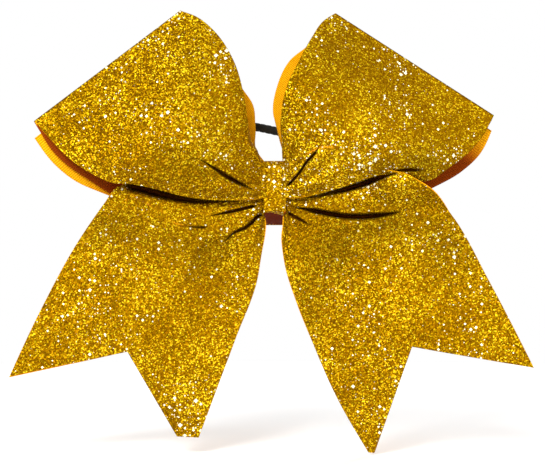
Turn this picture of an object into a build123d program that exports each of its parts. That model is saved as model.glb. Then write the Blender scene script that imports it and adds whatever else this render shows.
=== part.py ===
from build123d import *
from math import cos, radians, sin, tan
import os

# Cheer hair bow: two folded loops and two cut tails of three-inch glitter ribbon, gathered in a wrapped knot with
# a hair elastic behind it.
#
# Frame: the origin is on the flat back of the knot. The bow's face looks along -Y, +Z is up, and +X is to the
# right for someone who looks at the face. All sizes are millimetres.

# ---------------------------------------------------------------- driving dimensions
GLITTER_THICKNESS = 0.6        # glitter canvas, the face of the bow
BACKING_THICKNESS = 0.4        # grosgrain ribbon glued behind the glitter canvas
WRAP_THICKNESS = GLITTER_THICKNESS + BACKING_THICKNESS
UNDER_LOOP_THICKNESS = 0.9     # two plain grosgrain layers pressed together

KNOT_HALF_WIDTH = 4.6          # the wrap is 9.2 mm wide
KNOT_DEPTH = 18.0              # front of the wrap to its flat back
KNOT_TOP = 13.3
KNOT_FRONT_BOTTOM = -8.6
KNOT_BACK_BOTTOM = -13.4
KNOT_CORNER_RADIUS = 3.2

CINCH_FRONT = -6.6             # the gathered ribbon ends here, and the elastic lies behind it
TIE_WIDTH = 2.5                # narrow cable tie
TIE_THICKNESS = 1.1
TIE_HEAD = (5.0, 4.6, 4.6)     # width, depth and height of the tie's moulded head
TIE_HEAD_HEIGHT = -6.5         # height of the head's middle

ELASTIC_DIAMETER = 3.7
ELASTIC_AXIS = (-3.8, 5.0)     # Y and Z of the stretch that runs through the knot, the elastic's hinge line
ELASTIC_LEAN = 30.0            # degrees that the free loop leans back from upright
ELASTIC_END_GAP = 0.185        # from the middle of the crimp to either end of the elastic
ELASTIC_ARC_SHARE = 0.45       # how much of the shorter run beside a corner its arc takes up
CRIMP_DIAMETER = 4.6
CRIMP_LENGTH = 8.0
CHANNEL_DIAMETER = 4.9         # hole through the glue pad, in which the crimp turns

ROOT_GAP = 1.8                 # the free ribbon starts this far outside the wrap, so that it can flex
BOUNDARY_GAP = 1.2             # loops stay this far above, and tails this far below, the hinge line of a tail
LOOP_ROOT_FRONT = -16.0        # Y of a loop's front and back panel where they leave the knot
LOOP_ROOT_BACK = -9.6
LOOP_MID_FRONT = -34.0         # Y of the two panels halfway to the fold
LOOP_MID_BACK = -8.6
LOOP_FOLD_Y = -16.0            # Y of the pressed fold
FOLD_SETBACK = 1.9             # a layer that lies inside another by some inset folds this many insets short of it
UNDER_LOOP_CLEARANCE = 0.4     # space between a loop's back panel and the layer behind it
TAIL_ROOT_Y = -13.0
TAIL_CURVE = [(12.0, 1.0), (-50.0, -4.0), (-115.0, 3.0)]  # Z, and Y from the root, along the arc of a tail
TAIL_ROOT_RISE = 3.0           # a tail's inner edge runs this far up beside the knot

REACH = 150.0                  # longer than any ribbon, for prisms that are cut back to an outline

# Each side's outlines, as X and Z seen from the front. sign is -1 on the left and 1 on the right. fold runs along
# the loop's pressed fold from its lower, outer corner to its upper one. hinge is the line that the tail swings
# about, from the knot out. front and back are the free edges of the loop's two panels, and under those of the
# plain layer behind them, each from the fold to the knot. tail_outer and tail_inner are the long edges of the
# tail, with the notch and the tip of its swallow-tail end between them. tail_flare is how far the tail comes
# forward for each millimetre to its side.
SIDES = {
    "left": dict(
        sign=-1,
        fold=((-101.1, 29.9), (-39.6, 76.4)),
        hinge=((-5.5, -2.9), (-66.0, 1.4)),
        front_lower=[(-101.1, 29.9), (-90.0, 17.8), (-78.0, 8.6), (-66.0, 3.4)],
        front_upper=[(-39.6, 76.4), (-28.6, 70.3), (-16.4, 53.4), (-11.5, 31.0), (-6.4, 14.6)],
        back_lower=[(-101.1, 29.9), (-92.7, 15.6), (-80.0, 5.6), (-70.0, 3.0)],
        back_upper=[(-39.6, 76.4), (-26.0, 66.0), (-12.6, 43.4), (-7.4, 28.0), (-6.4, 14.6)],
        under_corner=(-100.6, 23.2),
        under_lower=[(-100.6, 23.2), (-89.1, 8.4), (-74.0, 3.2)],
        under_upper=[(-46.0, 69.0), (-28.0, 56.0), (-13.2, 38.0), (-8.0, 25.0), (-6.4, 13.0)],
        tail_outer=[(-62.0, -0.1), (-68.5, -3.0), (-81.9, -20.2), (-97.2, -48.4), (-110.9, -77.4)],
        notch=(-61.4, -66.6),
        tail_tip=((-41.1, -102.7), (-31.9, -103.2)),
        tail_inner=[(-31.9, -103.2), (-18.5, -68.0), (-7.1, -36.2), (-4.4, -18.5)],
        tail_flare=0.06,
    ),
    "right": dict(
        sign=1,
        fold=((92.1, 32.0), (25.0, 75.6)),
        hinge=((5.5, -2.6), (56.0, 7.6)),
        front_lower=[(92.1, 32.0), (85.9, 21.4), (77.0, 14.6), (68.0, 12.0)],
        front_upper=[(25.0, 75.6), (14.5, 63.0), (5.2, 44.5), (2.6, 29.0), (6.4, 14.6)],
        back_lower=[(92.1, 32.0), (85.5, 19.0), (77.0, 13.4), (70.0, 12.0)],
        back_upper=[(25.0, 75.6), (8.5, 57.7), (0.1, 40.7), (-0.1, 28.0), (6.4, 14.6)],
        under_corner=(90.6, 25.2),
        under_lower=[(90.6, 25.2), (84.6, 14.9), (73.0, 12.2)],
        under_upper=[(30.0, 69.0), (11.0, 55.0), (0.8, 37.0), (1.4, 25.0), (6.4, 13.0)],
        tail_outer=[(56.0, 6.0), (64.6, 1.6), (74.0, -10.0), (90.4, -39.6), (107.1, -72.8)],
        notch=(57.1, -64.3),
        tail_tip=((42.0, -109.4), (39.3, -109.2)),
        tail_inner=[(39.3, -109.2), (21.8, -77.2), (8.0, -43.0), (4.6, -18.5)],
        tail_flare=0.15,
    ),
}

# Route of the elastic outside the knot, in the plane of its loop: X, and the distance from the hinge line.
ELASTIC_ROUTE = [
    (17.0, 0.0), (26.5, 8.0), (22.5, 18.8), (4.0, 24.6), (-13.0, 28.8),
    (-31.0, 28.4), (-45.5, 20.0), (-43.0, 6.8), (-28.0, 2.2), (-13.0, 0.0),
]


# ---------------------------------------------------------------- shared geometry
def wire_in_front_view(edge_lists, y):
    """A closed wire at depth y. A list of two points is a straight edge, and a longer one a smooth curve."""
    edges = []
    for points in edge_lists:
        corners = [(x, y, z) for x, z in points]
        edges.append(Line(*corners) if len(corners) == 2 else Spline(*corners))
    return Wire(edges)


def front_view_prism(edge_lists, y_front, y_back):
    """The outline seen from the front, made solid from y_front back to y_back."""
    face = Face(wire_in_front_view(edge_lists, y_front))
    return extrude(face, amount=y_back - y_front, dir=(0, 1, 0))


def above_hinge(side, x):
    """Height, at x, of the lowest line that a loop reaches."""
    (x0, z0), (x1, z1) = side["hinge"]
    return z0 + (z1 - z0) * (x - x0) / (x1 - x0) + BOUNDARY_GAP


def below_hinge(side, x):
    """Height, at x, of the highest line that a tail's root reaches."""
    return above_hinge(side, x) - 2 * BOUNDARY_GAP


def root_x(side):
    """X at which the free ribbon of this side starts."""
    return side["sign"] * (KNOT_HALF_WIDTH + ROOT_GAP)


def curved_sheet(near, thickness, amount, direction):
    """A sheet whose front follows an arc through three points, carried the given amount in a direction."""
    far = [point + Vector(0, thickness, 0) for point in near]
    section = Face(Wire([
        ThreePointArc(*near),
        Line(near[-1], far[-1]),
        ThreePointArc(*far[::-1]),
        Line(far[0], near[0]),
    ]))
    return extrude(section, amount=amount, dir=direction)


# ---------------------------------------------------------------- loops
def fold_frame(side):
    """Unit vectors out to the fold, square to it, and along it, with the distance from the knot to the fold."""
    (x0, z0), (x1, z1) = side["fold"]
    along = Vector(x1 - x0, 0, z1 - z0).normalized()
    outward = Vector(-along.Z, 0, along.X)
    if outward.dot(Vector(x0, 0, z0)) < 0:
        outward = outward * -1
    return outward, along, outward.dot(Vector(x0, 0, z0))


def lens(side, inset):
    """Solid between a loop's two panels, drawn inset inside their outer faces and long along the fold."""
    outward, along, fold_distance = fold_frame(side)
    tip = fold_distance - FOLD_SETBACK * inset
    middle = fold_distance / 2

    def point(distance, y):
        return outward * distance + Vector(0, y, 0) - along * REACH

    front_root = point(0, LOOP_ROOT_FRONT + inset)
    back_root = point(0, LOOP_ROOT_BACK - inset)
    fold = point(tip, LOOP_FOLD_Y)
    front = ThreePointArc(front_root, point(middle, LOOP_MID_FRONT + inset), fold)
    back = ThreePointArc(fold, point(middle, LOOP_MID_BACK - inset), back_root)
    root = Line(back_root, front_root)
    return extrude(Face(Wire([front, back, root])), amount=2 * REACH, dir=along)


def loop_outline(side):
    """Everything inside a loop's front view: its front panel's outline ahead of the fold, its back's behind."""
    low = above_hinge(side, root_x(side))
    prisms = []
    for panel, y_front, y_back in (("front", -REACH, LOOP_FOLD_Y), ("back", LOOP_FOLD_Y, REACH)):
        lower = side[panel + "_lower"]
        upper = side[panel + "_upper"]
        shoulder = (lower[-1][0], max(lower[-1][1], above_hinge(side, lower[-1][0])))
        lower = lower[:-1] + [shoulder]
        edges = [
            list(side["fold"]),
            upper,
            [upper[-1], (root_x(side), low)],
            [(root_x(side), low), shoulder],
            lower[::-1],
        ]
        prisms.append(front_view_prism(edges, y_front, y_back))
    return prisms[0] + prisms[1]


def loop_layer(side, outer_inset, thickness):
    """One layer of the ribbon that is folded into a loop."""
    shell = lens(side, outer_inset) - lens(side, outer_inset + thickness)
    return shell & loop_outline(side)


def under_loop(side):
    """The plain ribbon layer that lies against the back of a loop and shows a corner below it."""
    outward, along, fold_distance = fold_frame(side)
    loop_back = [(0, LOOP_ROOT_BACK), (fold_distance / 2, LOOP_MID_BACK), (fold_distance, LOOP_FOLD_Y)]
    near = [
        outward * distance + Vector(0, y + UNDER_LOOP_CLEARANCE, 0) - along * REACH
        for distance, y in loop_back
    ]
    slab = curved_sheet(near, UNDER_LOOP_THICKNESS, 2 * REACH, along)
    low = above_hinge(side, root_x(side))
    lower = side["under_lower"]
    upper = side["under_upper"]
    edges = [
        [side["under_corner"], upper[0]],
        upper,
        [upper[-1], (root_x(side), low)],
        [(root_x(side), low), lower[-1]],
        lower[::-1],
    ]
    return slab & front_view_prism(edges, -REACH, REACH)


# ---------------------------------------------------------------- tails
def tail_slab(side, y_shift, thickness):
    """A gently curved sheet that hangs from the knot to below the tips and flares forward to its side."""
    near = [Vector(0, TAIL_ROOT_Y + y_shift + y, z) for z, y in TAIL_CURVE]
    sideways = Vector(side["sign"], -side["tail_flare"], 0)
    return curved_sheet(near, thickness, REACH, sideways)


def tail_layer(side, y_shift, thickness):
    """One layer of a tail, cut to the tail's outline with its swallow-tail end."""
    start = (root_x(side), below_hinge(side, root_x(side)))
    outer = side["tail_outer"]
    inner = side["tail_inner"]
    tip_outer, tip_inner = side["tail_tip"]
    root_low = (root_x(side), inner[-1][1] + TAIL_ROOT_RISE)
    edges = [
        [start, outer[0]],
        outer,
        [outer[-1], side["notch"]],
        [side["notch"], tip_outer],
        [tip_outer, tip_inner],
        inner,
        [inner[-1], root_low],
        [root_low, start],
    ]
    return tail_slab(side, y_shift, thickness) & front_view_prism(edges, -REACH, REACH)


# ---------------------------------------------------------------- knot
def knot_section(inset):
    """The side view of the wrapped knot, drawn inset inside the wrap's outer face."""
    corners = [
        (-KNOT_DEPTH, KNOT_TOP),
        (-KNOT_DEPTH, KNOT_FRONT_BOTTOM),
        (0, KNOT_BACK_BOTTOM),
        (0, KNOT_TOP),
    ]
    section = make_face(Polyline(*corners, close=True))
    section = fillet(section.vertices(), KNOT_CORNER_RADIUS)
    return offset(section, -inset) if inset else section


def knot_block(inset, half_width):
    """The knot's side view made solid from side to side."""
    return extrude(Plane.YZ * knot_section(inset), amount=half_width, both=True)


def knot_layer(outer_inset, thickness):
    """One layer of the strip that is wrapped round the knot."""
    return knot_block(outer_inset, KNOT_HALF_WIDTH) - knot_block(outer_inset + thickness, KNOT_HALF_WIDTH)


def slab_in_depth(y_front, y_back):
    """Everything between two depths, for splitting the knot."""
    middle = (y_front + y_back) / 2
    return Pos(0, middle, 0) * Box(REACH, y_back - y_front, REACH)


def cable_tie():
    """Strap round the gathered ribbon, with its head moulded on at the back and its tail trimmed flush."""
    front = slab_in_depth(-KNOT_DEPTH, CINCH_FRONT)
    inner_front = slab_in_depth(-KNOT_DEPTH, CINCH_FRONT - TIE_THICKNESS)
    strap = knot_block(WRAP_THICKNESS, TIE_WIDTH / 2) & front
    strap -= knot_block(WRAP_THICKNESS + TIE_THICKNESS, TIE_WIDTH / 2) & inner_front
    width, depth, height = TIE_HEAD
    head = Pos(0, CINCH_FRONT + depth / 2, TIE_HEAD_HEIGHT) * Box(width, depth, height)
    return strap + head


def gathered_centre(tie):
    """The pleated middle of the ribbons, squeezed to the inside of the wrap."""
    block = knot_block(WRAP_THICKNESS, KNOT_HALF_WIDTH) & slab_in_depth(-KNOT_DEPTH, CINCH_FRONT)
    return block - tie


def glue_pad(tie):
    """Hot glue behind the gathered ribbon, with a hole through it in which the elastic turns."""
    block = knot_block(WRAP_THICKNESS, KNOT_HALF_WIDTH) & slab_in_depth(CINCH_FRONT, 0)
    y, z = ELASTIC_AXIS
    channel = Pos(0, y, z) * Rot(0, 90, 0) * Cylinder(CHANNEL_DIAMETER / 2, 2 * REACH)
    return block - channel - tie


# ---------------------------------------------------------------- elastic
def elastic_point(x, distance):
    """A point of the elastic's loop, from X and its distance from the hinge line."""
    y, z = ELASTIC_AXIS
    lean = radians(ELASTIC_LEAN)
    return Vector(x, y + distance * sin(lean), z + distance * cos(lean))


def elastic_path():
    """Straight runs joined by tangent arcs, each nearly as large as its two runs allow."""
    stops = [(ELASTIC_END_GAP, 0.0)] + ELASTIC_ROUTE + [(-ELASTIC_END_GAP, 0.0)]
    points = [elastic_point(x, distance) for x, distance in stops]
    radii = []
    for before, here, after in zip(points, points[1:], points[2:]):
        turn = radians((here - before).get_angle(after - here))
        shorter = min((here - before).length, (after - here).length)
        radii.append(ELASTIC_ARC_SHARE * shorter / tan(turn / 2))
    return FilletPolyline(*points, radius=radii)


def hair_elastic():
    """The elastic cord: one loop whose two ends meet in the crimp inside the knot."""
    path = elastic_path()
    section = Plane(origin=path @ 0, z_dir=path % 0) * Circle(ELASTIC_DIAMETER / 2)
    return sweep(section, path=path)


def elastic_crimp():
    """The sleeve that joins the elastic's two ends, inside the knot."""
    y, z = ELASTIC_AXIS
    sleeve = Cylinder(CRIMP_DIAMETER / 2, CRIMP_LENGTH) - Cylinder(ELASTIC_DIAMETER / 2, CRIMP_LENGTH)
    return Pos(0, y, z) * Rot(0, 90, 0) * sleeve


# ---------------------------------------------------------------- assembly
def build():
    """Every piece by its name, each in its place in the assembly."""
    tie = cable_tie()
    nodes = {
        "knot_wrap_glitter": knot_layer(0, GLITTER_THICKNESS),
        "knot_wrap_ribbon": knot_layer(GLITTER_THICKNESS, BACKING_THICKNESS),
        "gathered_centre": gathered_centre(tie),
        "cable_tie": tie,
        "glue_pad": glue_pad(tie),
        "hair_elastic": hair_elastic(),
        "elastic_crimp": elastic_crimp(),
    }
    for name, side in SIDES.items():
        nodes[name + "_loop_glitter"] = loop_layer(side, 0, GLITTER_THICKNESS)
        nodes[name + "_loop_ribbon"] = loop_layer(side, GLITTER_THICKNESS, BACKING_THICKNESS)
        nodes[name + "_under_loop"] = under_loop(side)
        nodes[name + "_tail_glitter"] = tail_layer(side, 0, GLITTER_THICKNESS)
        nodes[name + "_tail_ribbon"] = tail_layer(side, GLITTER_THICKNESS, BACKING_THICKNESS)
    return nodes


os.makedirs("parts", exist_ok=True)
for node, shape in build().items():
    export_step(shape, "parts/" + node + ".step")
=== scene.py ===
"""Looks of the cheer hair bow: glitter ribbon loops and tails, their grosgrain backing, the wrapped knot and
the braided elastic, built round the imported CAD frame. Shapes are worked out in metres in the frame's axes:
X to the right, Z up, and the bow's face looks along -Y. Outlines and creases are listed in millimetres."""

import math

import bmesh
import bpy
import numpy as np
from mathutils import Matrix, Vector


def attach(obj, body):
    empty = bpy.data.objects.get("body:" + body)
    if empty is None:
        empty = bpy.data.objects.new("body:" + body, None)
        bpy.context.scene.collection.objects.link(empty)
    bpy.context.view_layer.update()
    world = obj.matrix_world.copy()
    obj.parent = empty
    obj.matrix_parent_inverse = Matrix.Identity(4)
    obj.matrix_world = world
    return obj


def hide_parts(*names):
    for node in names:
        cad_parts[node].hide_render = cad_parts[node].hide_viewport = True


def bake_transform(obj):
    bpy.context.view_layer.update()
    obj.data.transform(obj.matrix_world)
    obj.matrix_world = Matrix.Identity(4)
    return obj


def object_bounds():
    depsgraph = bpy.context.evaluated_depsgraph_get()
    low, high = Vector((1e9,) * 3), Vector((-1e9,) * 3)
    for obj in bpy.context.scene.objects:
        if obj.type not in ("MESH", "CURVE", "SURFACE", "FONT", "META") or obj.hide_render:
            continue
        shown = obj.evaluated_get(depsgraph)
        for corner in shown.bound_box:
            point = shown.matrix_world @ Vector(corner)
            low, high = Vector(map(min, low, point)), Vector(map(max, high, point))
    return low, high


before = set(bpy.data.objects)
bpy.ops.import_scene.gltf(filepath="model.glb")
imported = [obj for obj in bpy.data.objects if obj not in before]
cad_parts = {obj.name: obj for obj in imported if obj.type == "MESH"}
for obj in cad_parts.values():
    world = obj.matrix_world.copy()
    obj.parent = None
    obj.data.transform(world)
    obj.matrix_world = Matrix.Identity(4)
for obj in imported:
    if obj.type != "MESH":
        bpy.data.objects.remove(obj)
cad_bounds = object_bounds()

MM = 0.001

# ---------------- ribbon and knot dimensions
RIBBON_WIDTH = 76.2 * MM
GLITTER_THICKNESS = 0.6 * MM
BACKING_THICKNESS = 0.4 * MM
LAYER_SPACE = 0.02 * MM  # between the glitter canvas and its backing

KNOT_HALF_WIDTH = 4.6 * MM
WRAP_EDGE = 0.5 * MM  # the backing's edge shows along the right of the knot


# ---------------- curves
CURVE_DETAIL = 40  # samples for each point that a curve goes through


def lengths_along(points):
    """The distance along a line to each of its points."""
    return np.concatenate([[0], np.cumsum(np.linalg.norm(np.diff(points, axis=0), axis=1))])


def evenly_spaced(points, count):
    """count points at even distances along a line."""
    length = lengths_along(points)
    even = np.linspace(0, length[-1], count)
    return np.stack([np.interp(even, length, axis) for axis in points.T], axis=1)


def curve_through(points, count):
    """count points spaced evenly along a smooth curve through the given points, which are in millimetres."""
    p = np.array(points, float) * MM
    step = np.linalg.norm(np.diff(p, axis=0), axis=1)
    knots = lengths_along(p)
    slope = np.diff(p, axis=0) / step[:, None]
    before, after = step[:-1, None], step[1:, None]
    tangent = np.empty_like(p)
    tangent[1:-1] = (slope[:-1] * after + slope[1:] * before) / (before + after)
    tangent[0] = 1.5 * slope[0] - 0.5 * tangent[1]
    tangent[-1] = 1.5 * slope[-1] - 0.5 * tangent[-2]
    s = np.linspace(0, knots[-1], CURVE_DETAIL * len(p))
    i = np.clip(np.searchsorted(knots, s, side="right") - 1, 0, len(step) - 1)
    h = step[i][:, None]
    t = ((s - knots[i])[:, None]) / h
    dense = ((2 * t**3 - 3 * t**2 + 1) * p[i] + (t**3 - 2 * t**2 + t) * h * tangent[i]
             + (3 * t**2 - 2 * t**3) * p[i + 1] + (t**3 - t**2) * h * tangent[i + 1])
    return evenly_spaced(dense, count)


def smoothstep(low, high, x):
    """A smooth rise from 0 at low to 1 at high."""
    t = np.clip((x - low) / (high - low), 0, 1)
    return t * t * (3 - 2 * t)


def hump(distance, width, power):
    """1 at no distance and close to 0 beyond the width. A higher power gives a flatter top."""
    return np.exp(-((distance / width) ** power))


# ---------------- creases
CREASE_SAMPLES = 80
CREASE_REACH = 2.5 * MM  # beside a crease, a ribbon's layers lie straight behind one another
CREASE_END = 0.12  # the share of its width that a crease keeps at its ends
RUBBED_LINE = 0.3 * MM  # half the width of the line where glitter has rubbed off


def crease(x, z, points, depth, width, lip=0.0, start_taper=0.1, end_taper=0.3, dark=1.0, worn=0.0):
    """What a crease does at each point of a sheet: how far it pushes the sheet back, in metres, how much
    painted shade it lays along its groove, how near it is, and how much glitter has rubbed off along it, the
    last three from 0 to 1. The points follow it in the front view from the knot out. lip raises the sheet
    beside it, and dark scales its painted shade. It fades over its tapers, which are shares of its length.
    Sizes are in millimetres."""
    line = curve_through(points, CREASE_SAMPLES)
    dx = x[..., None] - line[:, 0]
    dz = z[..., None] - line[:, 1]
    squared = dx * dx + dz * dz
    distance = np.sqrt(squared.min(axis=-1))
    along = squared.argmin(axis=-1) / (CREASE_SAMPLES - 1)
    fade = smoothstep(-0.02, start_taper, along) * (1 - smoothstep(1 - end_taper, 1.0, along))
    opening = width * MM * (CREASE_END + (1 - CREASE_END) * fade ** 1.5)
    groove = depth * MM * hump(distance, opening, 4)
    ridge = lip * MM * hump(distance - 2.0 * opening, 4.0 * MM, 2)
    # Painted shade along the middle of the crease's groove.
    painted_shade = dark * fade ** 0.4 * hump(distance, 0.85 * opening, 6)
    bare = worn * fade ** 0.4 * hump(distance, RUBBED_LINE, 4)
    return (groove - ridge) * fade, painted_shade, hump(distance, CREASE_REACH, 2), bare


def creased(x, z, creases):
    """The push, painted shade, nearness and rubbed glitter of a set of creases together."""
    push = np.zeros_like(x)
    most = [np.zeros_like(x), np.zeros_like(x), np.zeros_like(x)]
    for settings in creases:
        more, *others = crease(x, z, **settings)
        push += more
        most = [np.maximum(so_far, other) for so_far, other in zip(most, others)]
    return push, *most


def dimmed(x, z, patches, painted_shade):
    """The painted shade of a sheet's creases with its soft patches of painted shade added."""
    lit = 1 - painted_shade
    for px, pz, half_width, half_height, share in patches:
        away = ((x / MM - px) / half_width) ** 2 + ((z / MM - pz) / half_height) ** 2
        lit = lit * (1 - share * np.exp(-away))
    return 1 - lit


def straight_back(step, near):
    """The step through a ribbon, turned straight back near its creases, where its layers would meet."""
    depth = np.zeros_like(step)
    depth[..., 1] = np.abs(step[..., 1])
    return step * (1 - near[..., None]) + depth * near[..., None]


# ---------------- meshes from grids
MARGIN_CHANGE = (0.35, 0.55)  # shares of a ribbon's length between which its margins change
MARGIN_LIMIT = 0.8  # a margin takes at most this share of the grid's last cell


def unit(vectors):
    return vectors / np.maximum(np.linalg.norm(vectors, axis=-1, keepdims=True), 1e-12)


def grid_normals(grid, fold_row=None):
    """The outward direction at each point of a grid. On a fold's row it points out of the fold."""
    normals = unit(np.cross(np.gradient(grid, axis=0), np.gradient(grid, axis=1)))
    if fold_row is not None:
        normals[fold_row] = unit(normals[fold_row - 1] + normals[fold_row + 1])
    return normals


def flat_coordinates(grid, width):
    """Distances along and across the ribbon as if it lay flat, for the weave."""
    along = lengths_along(grid[:, grid.shape[1] // 2])
    across_it = np.linspace(0, width, grid.shape[1])
    return np.stack(np.meshgrid(along, across_it, indexing="ij"), axis=2)


def make_mesh(name, points, quads, uvs, material, shares=None):
    """A smooth mesh that keeps its flat layout, its place at rest, its painted shade and its wear for its
    material.
    """
    mesh = bpy.data.meshes.new(name)
    mesh.from_pydata(points.tolist(), [], quads.tolist())
    layer = mesh.uv_layers.new(name="flat")
    loops = np.empty(len(mesh.loops), np.int32)
    mesh.loops.foreach_get("vertex_index", loops)
    layer.data.foreach_set("uv", uvs[loops].astype(np.float32).ravel())
    rest = mesh.attributes.new("rest", "FLOAT_VECTOR", "POINT")
    rest.data.foreach_set("vector", points.astype(np.float32).ravel())
    for label in ("painted_shade", "worn"):
        values = (shares or {}).get(label, np.zeros(len(points)))
        mesh.attributes.new(label, "FLOAT", "POINT").data.foreach_set("value", values.astype(np.float32))
    mesh.materials.append(material)
    mesh.polygons.foreach_set("use_smooth", np.full(len(mesh.polygons), True))
    mesh.update()
    piece = bpy.data.objects.new(name, mesh)
    bpy.context.scene.collection.objects.link(piece)
    return piece


def sheet_piece(name, top, under, flat, material, painted_shade=None, worn=None):
    """A closed thin sheet between two grids of the same size, with its edges filled."""
    rows, columns = top.shape[:2]
    index = np.arange(rows * columns).reshape(rows, columns)
    lower = index + rows * columns

    def strip(a, b):
        return np.stack([a[:-1], a[1:], b[1:], b[:-1]], axis=-1).reshape(-1, 4)

    faces = [
        np.stack([index[:-1, :-1], index[1:, :-1], index[1:, 1:], index[:-1, 1:]], axis=-1).reshape(-1, 4),
        np.stack([lower[:-1, :-1], lower[:-1, 1:], lower[1:, 1:], lower[1:, :-1]], axis=-1).reshape(-1, 4),
        strip(index[0], lower[0]),
        strip(lower[-1], index[-1]),
        strip(lower[:, 0], index[:, 0]),
        strip(index[:, -1], lower[:, -1]),
    ]
    points = np.concatenate([top.reshape(-1, 3), under.reshape(-1, 3)])
    uvs = np.concatenate([flat.reshape(-1, 2)] * 2)
    shares = {label: np.concatenate([grid.ravel()] * 2)
              for label, grid in (("painted_shade", painted_shade), ("worn", worn)) if grid is not None}
    return make_mesh(name, points, np.concatenate(faces), uvs, material, shares)


def drawn_in(edge, inner, margin):
    """The edge's points moved towards the inner ones by a margin in metres."""
    direction = inner - edge
    length = np.linalg.norm(direction, axis=1, keepdims=True)
    return edge + unit(direction) * np.minimum(margin, MARGIN_LIMIT * length)


def narrowed(grid, margins, end_margin):
    """The grid with its first and last columns moved in, and its last row. The margins, in millimetres, are
    each the one beside the knot and the one farther out. end_margin holds one for each column."""
    out = grid.copy()
    fade = smoothstep(*MARGIN_CHANGE, np.linspace(0, 1, len(grid)))[:, None]
    for edge, inner, (close, far) in ((0, 1, margins[0]), (-1, -2, margins[1])):
        out[:, edge] = drawn_in(grid[:, edge], grid[:, inner], (close + (far - close) * fade) * MM)
    out[-1] = drawn_in(out[-1], out[-2], end_margin[0][:, None] * MM)
    return out


def ribbon_layers(name, ribbon, glitter, backing):
    """The glitter face of a ribbon and its grosgrain backing. The ribbon holds its outer surface, the inward
    step through one unit of thickness, how much painted shade its face and its backing get, how worn its
    glitter is, and how far the glitter stops short of its edges and of its end."""
    surface, step, face_painted_shade, backing_painted_shade, worn, margins, end_margin = ribbon
    flat = flat_coordinates(surface, RIBBON_WIDTH)
    first = surface + step * (GLITTER_THICKNESS + LAYER_SPACE)
    second = first + step * BACKING_THICKNESS
    face = narrowed(surface, margins, end_margin)
    behind = narrowed(first - step * LAYER_SPACE, margins, end_margin)
    return (
        sheet_piece(name + "_glitter_face", face, behind, flat, glitter, face_painted_shade, worn),
        sheet_piece(name + "_grosgrain_backing", first, second, flat, backing, backing_painted_shade),
    )


# ---------------- material nodes
MIX_SHARE, MIX_FIRST, MIX_SECOND, MIX_RESULT = 0, 6, 7, 2  # the sockets that a Mix node uses for colours


def node_material(name):
    """A new material with its node tree and its shader."""
    material = bpy.data.materials.new(name)
    material.use_nodes = True
    tree = material.node_tree
    return material, tree, tree.nodes["Principled BSDF"]


def add(tree, kind, **settings):
    """A new node with its properties set."""
    node = tree.nodes.new(kind)
    for key, value in settings.items():
        setattr(node, key, value)
    return node


def feed(tree, socket, value):
    """Sets a socket to a number or a colour, or links another node's output to it."""
    if isinstance(value, (int, float, tuple)):
        socket.default_value = value
    else:
        tree.links.new(value, socket)


def set_sockets(shader, **values):
    """Sets a shader's own sockets, named with low lines for spaces."""
    for name, value in values.items():
        shader.inputs[name.replace("_", " ")].default_value = value


def math_node(tree, operation, *values):
    node = add(tree, "ShaderNodeMath", operation=operation)
    for socket, value in zip(node.inputs, values):
        feed(tree, socket, value)
    return node.outputs[0]


def attribute(tree, name):
    return add(tree, "ShaderNodeAttribute", attribute_name=name).outputs


def parts_of(tree, kind, value):
    """The three channels of a colour, or the three axes of a vector."""
    node = add(tree, kind)
    tree.links.new(value, node.inputs[0])
    return node.outputs


def vector_node(tree, operation, *values):
    node = add(tree, "ShaderNodeVectorMath", operation=operation)
    for socket, value in zip(node.inputs, values):
        feed(tree, socket, value)
    return node.outputs["Vector"]


def ramp(tree, value, stops):
    """A colour read from a value, between stops of a position and a colour."""
    node = add(tree, "ShaderNodeValToRGB")
    elements = node.color_ramp.elements
    while len(elements) < len(stops):
        elements.new(0.5)
    for element, (position, colour) in zip(elements, stops):
        element.position = position
        element.color = (*colour, 1)
    tree.links.new(value, node.inputs[0])
    return node.outputs["Color"]


def voronoi(tree, vector, cell, distance="EUCLIDEAN"):
    """Random cells of about the given size in metres."""
    node = add(tree, "ShaderNodeTexVoronoi", voronoi_dimensions="3D", feature="F1", distance=distance)
    tree.links.new(vector, node.inputs["Vector"])
    node.inputs["Scale"].default_value = 1 / cell
    return node


def noise(tree, where, scale, detail=2):
    """A soft cloudy value from 0 to 1."""
    node = add(tree, "ShaderNodeTexNoise")
    node.inputs["Scale"].default_value = scale
    node.inputs["Detail"].default_value = detail
    tree.links.new(where, node.inputs["Vector"])
    return node.outputs["Fac"]


def clouds(tree, where, scale, detail, strength):
    """A soft cloudy value that wanders to both sides of nought."""
    centred = math_node(tree, "SUBTRACT", noise(tree, where, scale, detail), 0.5)
    return math_node(tree, "MULTIPLY", centred, strength)


def mixed(tree, share, colour, other):
    """The colour turned to the other one by a share."""
    mix = add(tree, "ShaderNodeMix", data_type="RGBA")
    feed(tree, mix.inputs[MIX_SHARE], share)
    feed(tree, mix.inputs[MIX_FIRST], colour)
    feed(tree, mix.inputs[MIX_SECOND], (*other, 1) if isinstance(other, tuple) else other)
    return mix.outputs[MIX_RESULT]


def turned(tree, colour, share_name, other, power=1):
    """The colour turned to the other one by the share that the piece's attribute gives, to a power."""
    share = attribute(tree, share_name)["Fac"]
    if power != 1:
        share = math_node(tree, "POWER", share, power)
    return mixed(tree, share, colour, other)


def bumped(tree, shader, height, strength, distance):
    """Raises the shader's surface by a height, in relief only."""
    relief = add(tree, "ShaderNodeBump")
    relief.inputs["Strength"].default_value = strength
    relief.inputs["Distance"].default_value = distance
    tree.links.new(height, relief.inputs["Height"])
    tree.links.new(relief.outputs["Normal"], shader.inputs["Normal"])


def stripes(tree, distance, pitch, wander=None):
    """A wave from -1 to 1 along a distance, with one crest in each pitch."""
    phase = math_node(tree, "MULTIPLY", distance, 2 * math.pi / pitch)
    if wander is not None:
        phase = math_node(tree, "ADD", phase, wander)
    return math_node(tree, "SINE", phase)


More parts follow.
